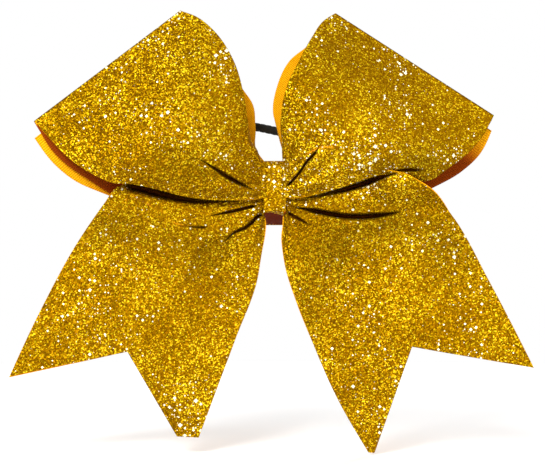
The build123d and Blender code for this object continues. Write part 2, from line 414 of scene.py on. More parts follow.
# ---------------- materials
FLAKE = 0.48 * MM
FLAKE_TILT = (0.8, 0.8, 0.8)
ORANGE_SHARE = 0.7  # the most that a flake's gold turns to orange
PAINTED_GLINTS = [  # painted glints, pale dots for flakes catching the light: cell, share without one, size
    (2.2 * MM, 0.52, 0.74),
    (1.1 * MM, 0.76, 1.2),
]
PAINTED_GLINT_COLOUR = (1.0, 0.96, 0.66)


def with_painted_glints(tree, where, colour, bunching, cell, threshold, size):
    """The colour with painted glints: pale dots, at most one in a cell, where its chance and the bunching
    are enough.
    """
    cells = voronoi(tree, where, cell, "MANHATTAN")
    chance = parts_of(tree, "ShaderNodeSeparateColor", cells.outputs["Color"])[0]
    excess = math_node(tree, "SUBTRACT", math_node(tree, "ADD", chance, bunching), threshold)
    radius = math_node(tree, "MULTIPLY", excess, size)
    inside = math_node(tree, "LESS_THAN", cells.outputs["Distance"], radius)
    return mixed(tree, inside, colour, PAINTED_GLINT_COLOUR)


def glitter_colour(tree, rest, lightness, hue):
    """Yellow and orange golds with painted glints, orange on the worn lines, and painted shade in the creases
    and dim patches.
    """
    yellow = ramp(tree, lightness, [
        (0.0, (0.112, 0.048, 0.0)),
        (0.35, (0.156, 0.075, 0.0)),
        (0.66, (0.225, 0.128, 0.0)),
        (0.85, (0.43, 0.285, 0.001)),
        (1.0, (0.95, 0.78, 0.02)),
    ])
    orange = ramp(tree, lightness, [
        (0.0, (0.125, 0.040, 0.0)),
        (0.66, (0.290, 0.105, 0.0)),
        (1.0, (0.80, 0.36, 0.003)),
    ])
    colour = mixed(tree, math_node(tree, "MULTIPLY", hue, ORANGE_SHARE), yellow, orange)
    bunching = clouds(tree, rest, scale=34, detail=2, strength=1.3)
    # Painted glints, bunched by the clouds.
    for cell, threshold, size in PAINTED_GLINTS:
        colour = with_painted_glints(tree, rest, colour, bunching, cell, threshold, size)
    colour = turned(tree, colour, "worn", (0.62, 0.22, 0.004))
    # Painted shade: olive-brown where its share is small, dark maroon-brown where it is full.
    colour = turned(tree, colour, "painted_shade", (0.050, 0.027, 0.0))
    return turned(tree, colour, "painted_shade", (0.085, 0.019, 0.001), power=4)


def glitter_material():
    """Flat metallic flakes, each with its own tilt and shade of gold, and painted glints as a few pale dots.
    """
    material, tree, shader = node_material("gold glitter canvas")
    rest = attribute(tree, "rest")["Vector"]
    flakes = voronoi(tree, rest, FLAKE).outputs["Color"]
    chance = parts_of(tree, "ShaderNodeSeparateColor", flakes)
    lightness = math_node(tree, "ADD", chance[0], clouds(tree, rest, scale=48, detail=3, strength=0.5))
    tree.links.new(glitter_colour(tree, rest, lightness, chance[2]), shader.inputs["Base Color"])
    tilt = vector_node(tree, "MULTIPLY", vector_node(tree, "SUBTRACT", flakes, (0.5, 0.5, 0.5)), FLAKE_TILT)
    smooth = add(tree, "ShaderNodeNewGeometry").outputs["Normal"]
    normal = vector_node(tree, "NORMALIZE", vector_node(tree, "ADD", smooth, tilt))
    tree.links.new(normal, shader.inputs["Normal"])
    rough = add(tree, "ShaderNodeMapRange")
    rough.inputs["To Min"].default_value = 0.35
    rough.inputs["To Max"].default_value = 0.65
    tree.links.new(chance[1], rough.inputs["Value"])
    tree.links.new(rough.outputs["Result"], shader.inputs["Roughness"])
    set_sockets(shader, Metallic=0.4, Specular_IOR_Level=0.08, Specular_Tint=(1.0, 0.72, 0.05, 1))
    return material


RIB_PITCH = 0.8 * MM
RIB_WANDER = 3.0  # radians that a rib strays from its even place
WARP_PITCH = 0.35 * MM  # of the threads that cross the ribs


def grosgrain_material():
    """Corded ribbon: fine ribs across its length, with the thread crossing them."""
    material, tree, shader = node_material("orange grosgrain")
    flat = add(tree, "ShaderNodeUVMap", uv_map="flat").outputs["UV"]
    along, crossways, _ = parts_of(tree, "ShaderNodeSeparateXYZ", flat)
    rest = attribute(tree, "rest")["Vector"]
    wander = math_node(tree, "MULTIPLY", noise(tree, rest, scale=260), RIB_WANDER)
    rib = math_node(tree, "MULTIPLY_ADD", stripes(tree, along, RIB_PITCH, wander), 0.5, 0.5)
    thread = math_node(tree, "MULTIPLY", stripes(tree, crossways, WARP_PITCH), 0.12)
    patches = math_node(tree, "MULTIPLY", noise(tree, rest, scale=160, detail=4), 0.3)
    tone = math_node(tree, "ADD", math_node(tree, "MULTIPLY", rib, 0.75), patches)
    shade = ramp(tree, tone, [
        (0.0, (0.55, 0.17, 0.0005)),
        (0.45, (0.82, 0.34, 0.001)),
        (1.0, (0.96, 0.52, 0.006)),
    ])
    # Painted shade and painted reflection: a deep red-orange for the red light bounced between orange layers,
    # then dark red-brown for the shade itself.
    shade = turned(tree, shade, "painted_shade", (0.40, 0.045, 0.001))
    shade = turned(tree, shade, "painted_shade", (0.100, 0.012, 0.0006), power=4)
    tree.links.new(shade, shader.inputs["Base Color"])
    bumped(tree, shader, math_node(tree, "ADD", rib, thread), strength=0.8, distance=0.25 * MM)
    set_sockets(shader, Roughness=0.75, Specular_IOR_Level=0.04)
    return material


BRAID_THREAD = 0.25 * MM


def braid_material():
    """Braided black nylon over rubber."""
    material, tree, shader = node_material("black braid")
    flat = add(tree, "ShaderNodeUVMap", uv_map="flat").outputs["UV"]
    thread = stripes(tree, parts_of(tree, "ShaderNodeSeparateXYZ", flat)[0], BRAID_THREAD)
    shade = ramp(tree, math_node(tree, "MULTIPLY_ADD", thread, 0.5), [
        (0.0, (0.006, 0.006, 0.005)),
        (1.0, (0.022, 0.022, 0.019)),
    ])
    tree.links.new(shade, shader.inputs["Base Color"])
    bumped(tree, shader, thread, strength=0.35, distance=0.05 * MM)
    set_sockets(shader, Roughness=0.7, Specular_IOR_Level=0.12)
    return material


def mottled_material(name, dark, light, scale, roughness, metallic=0.0):
    """Moulded plastic, glue or metal with a slight cloudiness and an uneven surface."""
    material, tree, shader = node_material(name)
    where = add(tree, "ShaderNodeTexCoord").outputs["Object"]
    mottle = noise(tree, where, scale, detail=5)
    tree.links.new(ramp(tree, mottle, [(0.3, dark), (0.7, light)]), shader.inputs["Base Color"])
    bumped(tree, shader, mottle, strength=0.25, distance=0.1 * MM)
    set_sockets(shader, Roughness=roughness, Metallic=metallic)
    return material


# ---------------- shapes of the two sides
# Points are millimetres in the front view. Each edge runs from the knot outwards.
SIDES = {"left": -1, "right": 1}

# front, back and under are the free edges of a loop's front panel, of its back panel and of the plain ribbon
# behind it. The glitter stops short of the backing by the margins, for the lower or inner edge and then the
# other one, each beside the knot and farther out. inside_shade and under_shade are the painted shade,
# standing in for the front panel's shadow, on the back panel's inside and on the plain ribbon near their
# lower edge.
LOOPS = {
    "left": dict(
        under_shade=0.1,
        margins=((0.25, 0.25), (0.12, 0.12)),
        inside_shade=0.9,
        front_lower=[
            (-3.4, -2.2), (-12, -3.0), (-25.3, -3.4), (-34.9, -2.5), (-49.4, 1.0), (-60, 3.2), (-67.2, 3.6),
            (-75, 6.8), (-86.5, 14.5), (-95.2, 23.5), (-101.1, 29.9),
        ],
        front_upper=[
            (-3.4, 12.6), (-5.6, 13.8), (-7.1, 17.6), (-9.6, 21.8), (-10.8, 28.0), (-12.6, 40.0),
            (-16.4, 53.4), (-24.9, 67.0), (-32.3, 73.4), (-39.6, 76.4),
        ],
        back_lower=[
            (-3.4, -4.0), (-35, -6.0), (-55, -4.0), (-69.2, -0.3), (-78.2, 5.3), (-87.3, 11.6),
            (-93.3, 17.4), (-98.9, 26.3), (-101.1, 29.9),
        ],
        back_upper=[
            (-3.4, 12.4), (-5.8, 13.8), (-7.9, 18.5), (-8.1, 27.4), (-9.2, 37.4), (-13.7, 44.2), (-22, 58),
            (-32, 70), (-39.6, 76.4),
        ],
        under_lower=[
            (-3.4, -3.4), (-40, -7.0), (-60, -4.5), (-73.4, 0.1), (-84.6, 5.2), (-92.9, 12.0),
            (-101.0, 22.9),
        ],
        under_upper=[
            (-3.4, 12.0), (-8.2, 19.5), (-8.0, 27.0), (-10.4, 37.0), (-15, 44.5), (-24, 57), (-40.4, 68.9),
        ],
    ),
    "right": dict(
        under_shade=0.9,
        margins=((0.12, 0.12), (0.12, 0.12)),
        inside_shade=1.0,
        front_lower=[
            (3.4, -1.8), (10.7, -2.0), (17.1, -1.0), (29.9, 2.5), (42.8, 6.7), (50.5, 7.2), (57, 5.0),
            (63, 4.4), (73.2, 10.3), (80.4, 15.8), (87.6, 24.0), (92.1, 32.4),
        ],
        front_upper=[
            (3.4, 12.4), (3.1, 16.0), (2.9, 21.8), (2.4, 26.0), (2.5, 30.4), (5.0, 43.7), (9.7, 53.7),
            (15.6, 64.8), (20.6, 72.0), (25.6, 75.3),
        ],
        back_lower=[
            (3.4, -3.0), (35, 2.0), (55, 5.5), (66.1, 8.0), (79, 16.4), (86.4, 23.6), (90.2, 28.5),
            (92.1, 32.4),
        ],
        back_upper=[
            (3.4, 12.2), (3.7, 15.5), (2.4, 21.8), (0.5, 28.5), (-0.6, 34.0), (1.1, 45.1), (6.4, 55.8),
            (14.3, 62.3), (21.4, 70.2), (25.6, 75.3),
        ],
        under_lower=[
            (3.4, -3.4), (40, -5.0), (58, -2.5), (66.1, 1.6), (79, 8.9), (86.6, 16.2), (91.4, 26.0),
        ],
        under_upper=[
            (3.4, 12.0), (3.6, 17.0), (2.3, 22.0), (0.9, 28.0), (0.4, 35.0), (2.6, 45.0), (9, 55),
            (27.5, 67.5),
        ],
    ),
}

# tip and notch are corners of the swallow-tail end, each with its share of the width from the inner edge.
# flare is how far a tail comes forward for its distance to the side, and curl how far its outer corner curls.
TAILS = {
    "left": dict(
        outer=[
            (-3.4, -1.6), (-12, -1.4), (-30, 0.6), (-50, 3.2), (-60, 4.4), (-66.4, 2.1), (-71.1, -4.2),
            (-81.9, -20.2), (-97.2, -48.4), (-110.9, -77.4),
        ],
        inner=[
            (-3.9, -8.0), (-4.3, -13.0), (-4.6, -18.5), (-5.5, -25.5), (-7.1, -36.2), (-16.3, -61.4),
            (-25, -84.7), (-31.9, -103.2),
        ],
        tip=(0.115, (-41.1, -102.7)),
        notch=(0.475, (-61.4, -66.6)),
        flare=0.06,
        curl=0.0,
        margins=((0.12, 0.12), (0.12, 0.12)),
        end_margin=0.9,
    ),
    "right": dict(
        outer=[
            (3.4, -1.4), (12, 0.2), (24, 4.0), (35, 8.0), (43, 9.7), (48.3, 9.0), (55, 7.4), (61.0, 3.6),
            (65.5, 0.4), (74, -10.0), (88.3, -36.0), (107.1, -72.8),
        ],
        inner=[
            (3.9, -8.0), (4.3, -13.0), (3.4, -20.2), (3.9, -28.1), (9.4, -47.0), (15.5, -62.1),
            (25.0, -84.0), (39.3, -109.2),
        ],
        tip=(0.03, (42.0, -109.4)),
        notch=(0.335, (57.1, -64.3)),
        flare=0.15,
        curl=9.0,
        margins=((0.5, 0.12), (0.4, 0.05)),
        end_margin=0.2,
    ),
}


def mark(points, depth, width, **more):
    """One crease: where it runs, how deep it is, half its width, and its other settings."""
    return dict(points=points, depth=depth, width=width, **more)


CREASES = {
    "left_loop": [
        mark([(-5, -0.9), (-7, 0.1), (-14.2, 3.5), (-20.5, 6.9), (-25.8, 10.3), (-30.1, 12.9), (-38, 14.2)],
             5.0, 0.85, lip=1.4, start_taper=0.4, end_taper=0.6),
        mark([(-30, 12.9), (-45, 13.5), (-60, 12.0)],
             1.4, 7.0, start_taper=0.4, end_taper=0.6, dark=0.12),
    ],
    "right_loop": [
        mark([(4.7, 2.1), (7.2, 4.6), (10.7, 8.5), (13.2, 12.3), (17.1, 16.6), (19.2, 20.5)],
             4.0, 0.52, lip=1.2),
        mark([(13.0, 15.4), (16.3, 17.3), (19.2, 18.4), (25.0, 18.3)],
             0.4, 0.4, start_taper=0.2, dark=0.0, worn=0.9),
        mark([(47, 8.4), (53, 9.0), (59, 9.0), (65, 8.2)],
             3.5, 0.75, lip=0.6, start_taper=0.5, end_taper=0.5),
    ],
    "left_tail": [
        mark([(-5, -3.4), (-8.4, -3.4), (-25.3, -3.7), (-34.9, -3.2), (-42.2, -1.9), (-49.4, -0.2),
              (-56.7, 1.9), (-65, 3.4)],
             7.0, 1.8, lip=0.6, start_taper=0.8, end_taper=0.1),
        mark([(-7, -5.4), (-9.4, -5.9), (-15.6, -7.4), (-22.9, -9), (-31, -10.8)],
             4.5, 0.65, lip=1.0, end_taper=0.6),
        mark([(-28, -14.6), (-32, -14.6), (-37.3, -14.1), (-44.6, -11.9)],
             2.0, 0.4, lip=0.5, start_taper=0.1, end_taper=0.9, dark=0.9),
        mark([(-61.4, 0.1), (-56.6, -2.7), (-50.8, -6.1)],
             1.0, 0.4, lip=0.5, start_taper=0.4, end_taper=0.4, dark=0.6, worn=0.6),
        mark([(-36, -14.1), (-40, -13.3), (-45.4, -11.3)],
             0.3, 0.3, end_taper=0.5, dark=0.0, worn=0.6),
        mark([(-4.1, -9.5), (-7, -10), (-9.4, -12.4), (-12.3, -14.8), (-16.6, -16.7), (-21.4, -21.1),
              (-26, -25)],
             3.6, 0.66, lip=1.4, end_taper=0.65),
        mark([(-16, -17), (-24, -25), (-33, -34), (-42, -43)],
             2.2, 6.0, start_taper=0.3, end_taper=0.6, dark=0.2),
    ],
    "right_tail": [
        mark([(5, -2.6), (10.7, -2.4), (17.1, -1.6), (23.5, -0.1), (29.9, 1.5), (36.4, 3.4), (42.8, 5.7),
              (49.0, 7.5), (53.5, 7.6)],
             7.0, 1.15, lip=0.5, start_taper=0.6, end_taper=0.18),
        mark([(6, -5.7), (10.7, -6.6), (17.1, -7.8), (23.5, -9.1), (29.9, -10), (36.4, -10.2), (44.9, -9.5),
              (51.4, -8.4), (58.7, -5.5)],
             7.0, 1.05, lip=1.2, start_taper=0.25, end_taper=0.35),
        mark([(5.3, -8.2), (8.5, -10.2), (12, -12.1), (17, -15)],
             3.0, 0.66, lip=0.8, end_taper=0.6),
    ],
}

# Painted shade in soft dim patches where a sheet leans away from the light: X, Z, half their width and
# height, and strength.
DIM_PATCHES = {
    "left_loop": [(-36, 10, 15, 9, 0.34), (-31, 50, 12, 16, 0.30), (-27, 27, 10, 12, 0.26)],
    "right_loop": [(58, 11, 17, 8, 0.50), (16, 48, 16, 20, 0.22)],
    "left_tail": [(-68, -14, 15, 10, 0.42), (-42, -20, 20, 12, 0.30), (-18, -27, 14, 14, 0.24)],
    "right_tail": [
        (24, -24, 13, 14, 0.52), (46, -13, 17, 10, 0.52), (72, -22, 14, 14, 0.36), (13, -48, 8, 18, 0.30),
    ],
}


# ---------------- depth of the loops
FRONT_ROOT_Y = -17.8  # of a loop's front panel at the knot
FRONT_SWELL = 15.8  # how far the panel swells forward between the knot and the fold
FRONT_FOLD_RISE = 1.8  # how much farther back its fold lies than its root
BOTH_EDGES_DROP = 0.22  # share of the swell that is missing along both free edges
LOWER_EDGE_DROP = 0.28  # and the share more along the lower one
BACK_ROOT_Y = -9.7  # of a loop's back panel at the knot
BACK_RISE = 10.6  # how steeply the panel sets off backwards there
BACK_BEND = 16.9  # how far it then bends forward to the fold
PLEATS = 4  # small folds across a ribbon where it is squeezed into the knot
PLEAT_HEIGHT = 0.9 * MM
PLEAT_PHASE = 0.7
PLEAT_REACH = 0.10  # the share of a ribbon's length at which its pleats are highest
BACK_PLEAT_HEIGHT = 0.45 * MM
BACK_PLEAT_REACH = 9 * MM
BACK_PLEAT_RATE = 14  # radians of pleat for each radian round the knot
KNOT_SIDE = 3.4 * MM  # X where the layers behind leave the knot
KNOT_MIDDLE = 4 * MM  # Z of the middle of their roots
SHADE_END = (0.25, 0.5)  # shares of a ribbon's width between which the shade in a loop fades out


def across(lower, upper, count):
    """Straight lines from each point of the lower edge to its fellow on the upper one, as a grid."""
    v = np.linspace(0, 1, count)[None, :, None]
    return lower[:, None] * (1 - v) + upper[:, None] * v


def panel(shape, name, rows, columns):
    """X and Z over a panel between its two free edges."""
    lower = curve_through(shape[name + "_lower"], rows)
    upper = curve_through(shape[name + "_upper"], rows)
    return np.moveaxis(across(lower, upper, columns), 2, 0)


def along_and_across(rows, columns):
    """The shares of the way along and across a grid, as a column and a row."""
    return np.linspace(0, 1, rows)[:, None], np.linspace(0, 1, columns)[None, :]


def stacked(x, y, z):
    return np.stack([x, y, z], axis=2)


def panel_depth_front(u, v):
    """Y of a loop's front panel: it swells between the knot and the fold, and less along its free edges."""
    swell = (4 * u * (1 - u)) ** 1.35
    edges = 1 - BOTH_EDGES_DROP * (2 * v - 1) ** 4 - LOWER_EDGE_DROP * (1 - v) ** 5
    return (FRONT_ROOT_Y - FRONT_SWELL * swell * edges + FRONT_FOLD_RISE * u) * MM


def panel_depth_back(u):
    """Y of a loop's back panel: it comes back from the knot a little and then forward to the fold."""
    return (BACK_ROOT_Y + BACK_RISE * u - BACK_BEND * u * u) * MM


def pleat_fade(away):
    """How high the pleats are: from 0 up to 1 at a distance of 1, and down again beyond it."""
    return away * np.exp(1 - away)


def root_pleats(u, v, reach=PLEAT_REACH):
    """Small folds where the ribbon is squeezed into the knot."""
    return PLEAT_HEIGHT * np.sin(2 * np.pi * PLEATS * v + PLEAT_PHASE) * pleat_fade(u / reach)


def back_pleats(x, z):
    """Small folds beside the knot in the layers behind, alike at each place so that no layer cuts another."""
    away = np.hypot(np.abs(x) - KNOT_SIDE, z - KNOT_MIDDLE) / BACK_PLEAT_REACH
    turn = np.arctan2(z - KNOT_MIDDLE, np.abs(x))
    return BACK_PLEAT_HEIGHT * np.sin(BACK_PLEAT_RATE * turn + PLEAT_PHASE) * pleat_fade(away)


FOLD_SQUEEZE = 0.88  # the share of its thickness that a ribbon loses where it is folded flat
FOLD_REACH = 1.9 * MM


def folded_step(smooth, fold_row):
    """The inward step through a folded ribbon, from its surface without creases, short at its fold."""
    outward = grid_normals(smooth, fold_row) * np.sign(smooth[fold_row, 0, 0])
    distance = np.linalg.norm(smooth - smooth[fold_row], axis=2)
    return -outward * (1 - FOLD_SQUEEZE * hump(distance, FOLD_REACH, 2))[..., None]


# ---------------- ribbons
def loop_ribbon(side, front_rows=130, back_rows=44, columns=190):
    """A loop's ribbon as one grid: its front panel, the pressed fold and its back panel."""
    shape = LOOPS[side]
    u, v = along_and_across(front_rows, columns)
    x, z = panel(shape, "front", front_rows, columns)
    push, painted_shade, near, worn = creased(x, z, CREASES[side + "_loop"])
    # Painted shade: the crease shade with the soft dim patches added.
    painted_shade = dimmed(x, z, DIM_PATCHES[side + "_loop"], painted_shade)
    smooth_y = panel_depth_front(u, v) + root_pleats(u, v)
    smooth_front = stacked(x, smooth_y, z)
    front = stacked(x, smooth_y + push, z)

    u, v = along_and_across(back_rows, columns)
    x, z = panel(shape, "back", back_rows, columns)
    back = stacked(x, panel_depth_back(u) + back_pleats(x, z), z)[::-1][1:]
    # Painted shadow of the front panel on the back panel's inside, near its lower edge.
    inside = np.broadcast_to(shape["inside_shade"] * (1 - smoothstep(*SHADE_END, v)), back.shape[:2])
    clear = np.zeros_like(inside)

    step = folded_step(np.concatenate([smooth_front, back]), front_rows - 1)
    step = straight_back(step, np.concatenate([near, clear]))
    return (
        np.concatenate([front, back]),
        step,
        np.concatenate([painted_shade, clear]),
        np.concatenate([np.zeros_like(painted_shade), inside]),
        np.concatenate([worn, clear]),
        shape["margins"],
        np.zeros_like(v),
    )


UNDER_REACH = 0.965  # the plain ribbon turns back at this share of the back panel's curve
UNDER_CLEARANCE = 0.5  # behind the back panel beside the knot
UNDER_DRIFT = 0.95  # how much more clearance it has farther out
UNDER_LAYERS = 0.8  # between its outer sides where its layers lie together
UNDER_SPREAD = 2.2  # how much farther apart they come
UNDER_SHADE_END = (0.82, 0.97)  # shares of its length between which its shade fades out


def under_loop(side, rows=70, columns=60):
    """The plain ribbon behind a loop: a loose flattened loop, from its front layer round to its back."""
    shape = LOOPS[side]
    u, v = along_and_across(rows, columns)
    x, z = panel(shape, "under", rows, columns)
    clearance = UNDER_CLEARANCE + UNDER_DRIFT * smoothstep(0.3, 0.7, u)
    thickness = UNDER_LAYERS + UNDER_SPREAD * np.sin(np.pi * u ** 2.2) ** 1.2
    front_y = panel_depth_back(u * UNDER_REACH) + back_pleats(x, z) + clearance * MM
    back_y = front_y + thickness * MM
    surface = np.concatenate([stacked(x, front_y, z), stacked(x, back_y, z)[::-1][1:]])
    # Painted shadow on the plain ribbon's front near its lower edge, fading out towards its far end.
    shaded = shape["under_shade"] * (1 - smoothstep(*SHADE_END, v)) * (1 - smoothstep(*UNDER_SHADE_END, u))
    painted_shade = np.concatenate([shaded, np.zeros((rows - 1, columns))])
    return surface, folded_step(surface, rows - 1), painted_shade


TAIL_SAMPLES = 400
TAIL_PLEAT_REACH = 0.06
TAIL_Y = -13.9  # of a tail at the height of the origin
TAIL_SLOPE = 0.137  # how much Y rises there for each unit of height
TAIL_BEND = 0.001483  # and how fast that slope changes
FLARE_START = 6 * MM  # a tail flares from this far to its side
TAIL_WAVE = 1.2 * MM
CURL_SIDE = (38 * MM, 48 * MM)  # a corner curls between these distances to its side
CURL_HEIGHT = (-8 * MM, 6 * MM)  # and between these heights


def tail_outline(shape, rows, columns):
    """X and Z over a tail, a fan of lines from the knot to its cut end."""
    inner = curve_through(shape["inner"], TAIL_SAMPLES)
    outer = curve_through(shape["outer"], TAIL_SAMPLES)
    tip_v, tip = shape["tip"]
    notch_v, notch = shape["notch"]
    v = np.linspace(0, 1, columns)
    corners = np.array([inner[-1], np.array(tip) * MM, np.array(notch) * MM, outer[-1]])
    ends = np.stack([np.interp(v, [0, tip_v, notch_v, 1], axis) for axis in corners.T], axis=1)
    t = np.linspace(0, 1, TAIL_SAMPLES)
    u = np.linspace(0, 1, rows)
    grid = np.empty((rows, columns, 2))
    for j, (share, end) in enumerate(zip(v, ends)):
        line = inner * (1 - share) + outer * share
        stop = t[max(np.argmin(np.linalg.norm(line - end, axis=1)), 1)]
        column = np.stack([np.interp(u * stop, t, axis) for axis in line.T], axis=1)
        grid[:, j] = column + (end - column[-1]) * (u[:, None] ** 4)
    return grid[..., 0], grid[..., 1]


def tail_depth(shape, x, z, u, v):
    """Y of a tail without its creases: it hangs in a slight curve, flares, waves and may curl at a corner."""
    height = z / MM
    y = (TAIL_Y + TAIL_BEND * height**2 + TAIL_SLOPE * height) * MM
    y -= shape["flare"] * (np.abs(x) - FLARE_START)
    y += root_pleats(u, v, TAIL_PLEAT_REACH)
    y += TAIL_WAVE * np.sin(2 * np.pi * (v * 1.1 + 0.15)) * smoothstep(0.25, 0.9, u)
    y -= shape["curl"] * MM * smoothstep(*CURL_SIDE, np.abs(x)) * smoothstep(*CURL_HEIGHT, z)
    return y


def tail_ribbon(side, rows=180, columns=190):
    """A tail's ribbon as one grid."""
    shape = TAILS[side]
    u, v = along_and_across(rows, columns)
    x, z = tail_outline(shape, rows, columns)
    y = tail_depth(shape, x, z, u, v)
    push, painted_shade, near, worn = creased(x, z, CREASES[side + "_tail"])
    # Painted shade: the crease shade with the soft dim patches added.
    painted_shade = dimmed(x, z, DIM_PATCHES[side + "_tail"], painted_shade)
    step = straight_back(-SIDES[side] * grid_normals(stacked(x, y, z)), near)
    end_margin = shape["end_margin"] * smoothstep(0.4, 1.0, v)
    surface = stacked(x, y + push, z)
    return surface, step, painted_shade, np.zeros_like(painted_shade), worn, shape["margins"], end_margin


# ---------------- the knot
CORNER_POINTS = 12
WRAP_CORNERS = [  # of the wrap's outline from the side: Y, Z and the radius of the corner
    (-0.1, 13.3, 2.6),
    (-18.0, 13.3, 3.2),
    (-18.0, -8.8, 1.6),
    (-0.1, -13.9, 0.7),
]
WRAP_TAPER = 0.45 * MM  # how much each side of the wrap draws in at the top
WRAP_ARCH = 1.1 * MM  # how high the front bottom edge arches
WRAP_ROUNDING = 0.7 * MM  # how far the front's sides lie behind its middle


def rounded_section(corners, count):
    """Evenly spaced points round a closed outline whose corners, (y, z, radius), are rounded."""
    p = np.array([corner[:2] for corner in corners]) * MM
    radii = [corner[2] * MM for corner in corners]
    pieces = []
    for before, here, after, radius in zip(np.roll(p, 1, axis=0), p, np.roll(p, -1, axis=0), radii):
        a = (before - here) / np.linalg.norm(before - here)
        b = (after - here) / np.linalg.norm(after - here)
        half = math.acos(float(np.clip(a @ b, -1, 1))) / 2
        centre = here + (a + b) / np.linalg.norm(a + b) * radius / math.sin(half)
        start = here + a * radius / math.tan(half)
        stop = here + b * radius / math.tan(half)
        first = math.atan2(*(start - centre)[::-1])
        last = math.atan2(*(stop - centre)[::-1])
        turn = (last - first + math.pi) % (2 * math.pi) - math.pi
        angles = first + turn * np.linspace(0, 1, CORNER_POINTS)
        pieces.append(centre + radius * np.stack([np.cos(angles), np.sin(angles)], axis=1))
    return evenly_spaced(np.concatenate(pieces + [pieces[0][:1]]), count)


def wrap_surface(rows=260, columns=30):
    """The outer surface of the strip wound round the knot, a closed band. Its front bottom edge is an arch,
    and its sides draw in a little at the top."""
    section = rounded_section(WRAP_CORNERS, rows)
    share = np.linspace(-1, 1, columns)[None, :]
    y = np.repeat(section[:, :1], columns, axis=1)
    z = np.repeat(section[:, 1:], columns, axis=1)
    half_width = KNOT_HALF_WIDTH - WRAP_TAPER * smoothstep(6 * MM, 13 * MM, z)
    front = smoothstep(-6 * MM, -16 * MM, y)
    z = z + front * smoothstep(-4 * MM, -9 * MM, z) * WRAP_ARCH * (1 - share ** 2)
    y = y + front * WRAP_ROUNDING * share ** 4
    return stacked(share * half_width, y, z)


def knot_wrap(glitter, grosgrain):
    """The glitter strip round the knot, which stops at the underside, and all of its grosgrain backing."""
    surface = wrap_surface()
    normal = grid_normals(surface)
    flat = flat_coordinates(surface, 2 * KNOT_HALF_WIDTH)
    y, z = surface[..., 1], surface[..., 2]
    # Painted shade on the backing where it shows under the knot; there the backing also comes out to the
    # glitter's surface.
    underside = smoothstep(-7.2 * MM, -8.6 * MM, z) * smoothstep(-17.9 * MM, -17.2 * MM, y)
    underside *= 1 - smoothstep(-2.5 * MM, -1.0 * MM, y)

    middle = surface.shape[1] // 2
    covered = np.flatnonzero((z[:, middle] > -8.9 * MM) | (y[:, middle] > -1.0 * MM))
    gap = np.flatnonzero(np.diff(covered) > 1)[0]
    order = np.concatenate([covered[gap + 1:-1], covered[:gap + 1]])

    face = surface.copy()
    glitter_share = 1 - WRAP_EDGE / (2 * KNOT_HALF_WIDTH)
    face[..., 0] = -KNOT_HALF_WIDTH + (face[..., 0] + KNOT_HALF_WIDTH) * glitter_share
    first = surface - normal * (GLITTER_THICKNESS + LAYER_SPACE)
    behind = first + normal * LAYER_SPACE
    outer = surface - normal * ((GLITTER_THICKNESS + LAYER_SPACE) * (1 - underside))[..., None]
    second = first - normal * BACKING_THICKNESS
    return (
        sheet_piece("knot_wrap_glitter_face", face[order], behind[order], flat[order], glitter),
        sheet_piece("knot_wrap_grosgrain_backing", outer, second, flat, grosgrain, underside),
    )


# ---------------- the elastic
ELASTIC_DIAMETER = 3.7 * MM
ELASTIC_AXIS = (-3.8, 5.0)  # Y and Z of its run through the knot
ELASTIC_LEAN = math.radians(30)  # how far its ring leans back from upright
ELASTIC_ROUTE = [  # X, and the distance from that run up the leaning ring
    (0.185, 0.0), (17.0, 0.0), (26.5, 8.0), (22.5, 18.8), (4.0, 24.6), (-13.0, 28.8),
    (-31.0, 28.4), (-45.5, 20.0), (-43.0, 6.8), (-28.0, 2.2), (-13.0, 0.0), (-0.185, 0.0),
]
ELASTIC_STEP = 0.4 * MM
AROUND = 40  # points round the elastic
STRANDS = 4  # that wind each way
STRAND_PITCH = 2.6 * MM
STRAND_RELIEF = 0.14 * MM


def elastic_line():
    """The elastic's centreline, read from a spline whose control points are its route, and its length."""
    curve = bpy.data.curves.new("elastic line", "CURVE")
    curve.dimensions = "3D"
    spline = curve.splines.new("NURBS")
    spline.points.add(len(ELASTIC_ROUTE) - 1)
    y, z = ELASTIC_AXIS
    for point, (x, d) in zip(spline.points, ELASTIC_ROUTE):
        place = (x, y + d * math.sin(ELASTIC_LEAN), z + d * math.cos(ELASTIC_LEAN))
        point.co = (*(c * MM for c in place), 1)
    spline.order_u = 3
    spline.use_endpoint_u = True
    spline.resolution_u = 40
    holder = bpy.data.objects.new("elastic line", curve)
    mesh = bpy.data.meshes.new_from_object(holder)
    points = np.array([v.co for v in mesh.vertices], float)
    bpy.data.objects.remove(holder)
    bpy.data.meshes.remove(mesh)
    length = lengths_along(points)[-1]
    return evenly_spaced(points, int(round(length / ELASTIC_STEP)) + 1), length


def close_ends(mesh, rings):
    """Adds a face on each ring of vertices and turns all faces outwards."""
    editable = bmesh.new()
    editable.from_mesh(mesh)
    editable.verts.ensure_lookup_table()
    for ring in rings:
        editable.faces.new([editable.verts[i] for i in ring])
    bmesh.ops.recalc_face_normals(editable, faces=editable.faces)
    editable.to_mesh(mesh)
    editable.free()


